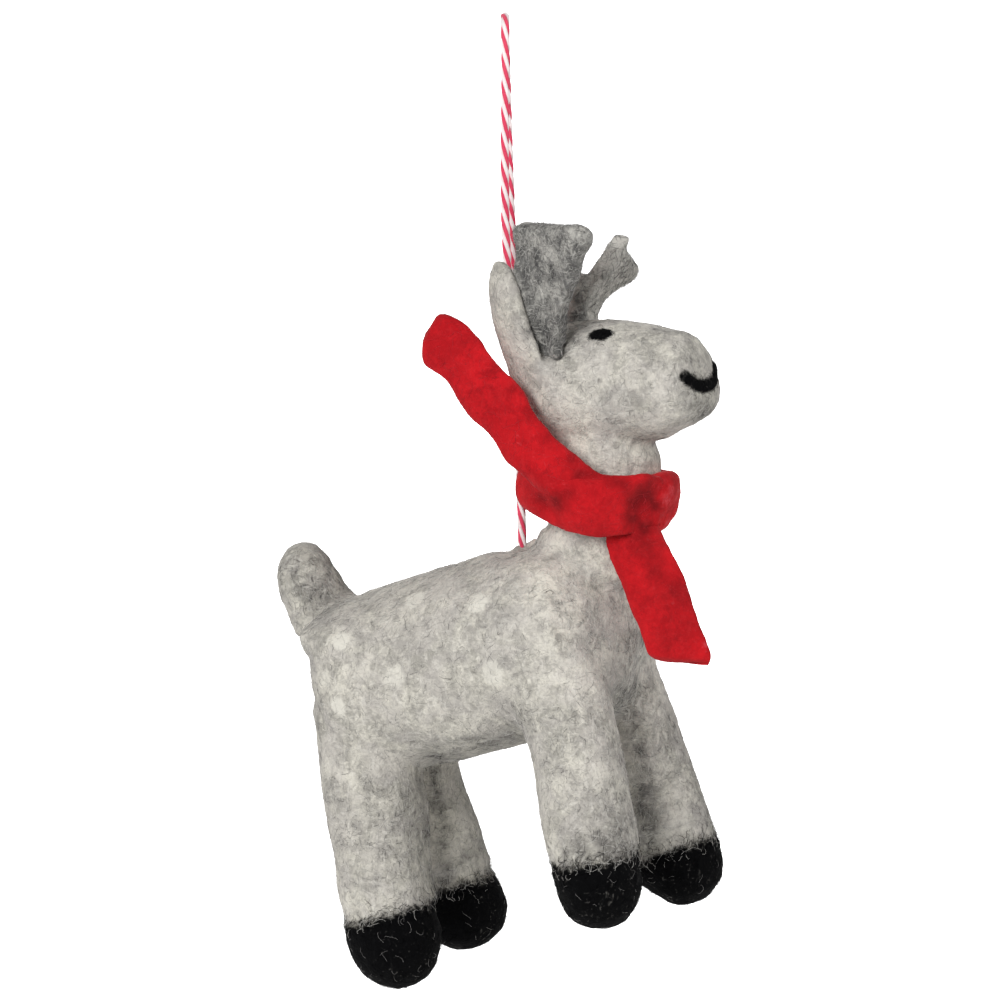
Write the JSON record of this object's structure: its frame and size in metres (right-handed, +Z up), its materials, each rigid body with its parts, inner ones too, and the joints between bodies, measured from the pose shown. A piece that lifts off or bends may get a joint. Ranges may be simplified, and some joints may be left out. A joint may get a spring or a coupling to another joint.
{
  "type": "felt christmas ornament",
  "caption": "Stuffed felt reindeer with a wrapped scarf, felt antlers and black hooves, hung on a twisted twine loop as a tree decoration.",
  "frame": {"origin": "underside of the twine loop's top bend, where a hook or twig bears", "axes": "+Z up along the hanging twine, +X toward the nose, +Y toward the animal's left side"},
  "size_m": [0.09, 0.048, 0.1769],
  "materials": {
    "grey_felt": "mottled grey wool felt with loose fibres",
    "pale_grey_felt": "pale grey wool felt",
    "dark_grey_felt": "dark grey mottled wool felt",
    "black_felt": "black wool felt",
    "cream_felt": "cream wool felt",
    "red_felt": "thick red wool felt",
    "twine": "four-ply cotton twine, red and white plies by turns"
  },
  "bodies": {
    "hanging_loop": {"twine_loop": "twine"},
    "twine_root": {"twine_root": "twine"},
    "deer": {"head": "grey_felt", "left_antler": "dark_grey_felt", "left_ear": "pale_grey_felt", "left_eye": "black_felt", "left_fore_hoof": "black_felt", "left_fore_leg": "grey_felt", "left_hind_hoof": "black_felt", "left_hind_leg": "grey_felt", "left_spot_1": "cream_felt", "left_spot_2": "cream_felt", "left_spot_3": "cream_felt", "left_spot_4": "cream_felt", "left_spot_5": "cream_felt", "left_spot_6": "cream_felt", "left_spot_7": "cream_felt", "left_spot_8": "cream_felt", "left_spot_9": "cream_felt", "mouth": "black_felt", "neck": "grey_felt", "right_antler": "dark_grey_felt", "right_ear": "pale_grey_felt", "right_eye": "black_felt", "right_fore_hoof": "black_felt", "right_fore_leg": "grey_felt", "right_hind_hoof": "black_felt", "right_hind_leg": "grey_felt", "right_spot_1": "cream_felt", "right_spot_2": "cream_felt", "right_spot_3": "cream_felt", "right_spot_4": "cream_felt", "right_spot_5": "cream_felt", "right_spot_6": "cream_felt", "right_spot_7": "cream_felt", "right_spot_8": "cream_felt", "right_spot_9": "cream_felt", "scarf_wrap": "red_felt", "tail": "grey_felt", "torso": "grey_felt", "twine_anchor": "twine"},
    "scarf_front_tail": {"scarf_front_tail": "red_felt"},
    "scarf_rear_tail": {"scarf_rear_tail": "red_felt"}
  },
  "joints": [
    {"name": "spin", "type": "hinge", "parent": "hanging_loop", "child": "twine_root", "pos_m": [0, 0, -0.0858], "axis": [0, 0, 1], "range_deg": [-180, 180], "stiffness_Nm_per_rad": 0.0004},
    {"name": "swing", "type": "hinge", "parent": "twine_root", "child": "deer", "pos_m": [0, 0, -0.0956], "axis": [0, 1, 0], "range_deg": [0, 60]},
    {"name": "front_tail_lift", "type": "hinge", "parent": "deer", "child": "scarf_front_tail", "pos_m": [0.02647, -0.00889, -0.09322], "axis": [-0.8763, -0.1526, -0.4569], "range_deg": [0, 30], "stiffness_Nm_per_rad": 0.002},
    {"name": "rear_tail_lift", "type": "hinge", "parent": "deer", "child": "scarf_rear_tail", "pos_m": [0.01314, -0.01632, -0.0783], "axis": [0.6957, -0.1406, 0.7044], "range_deg": [0, 25], "stiffness_Nm_per_rad": 0.002}
  ]
}
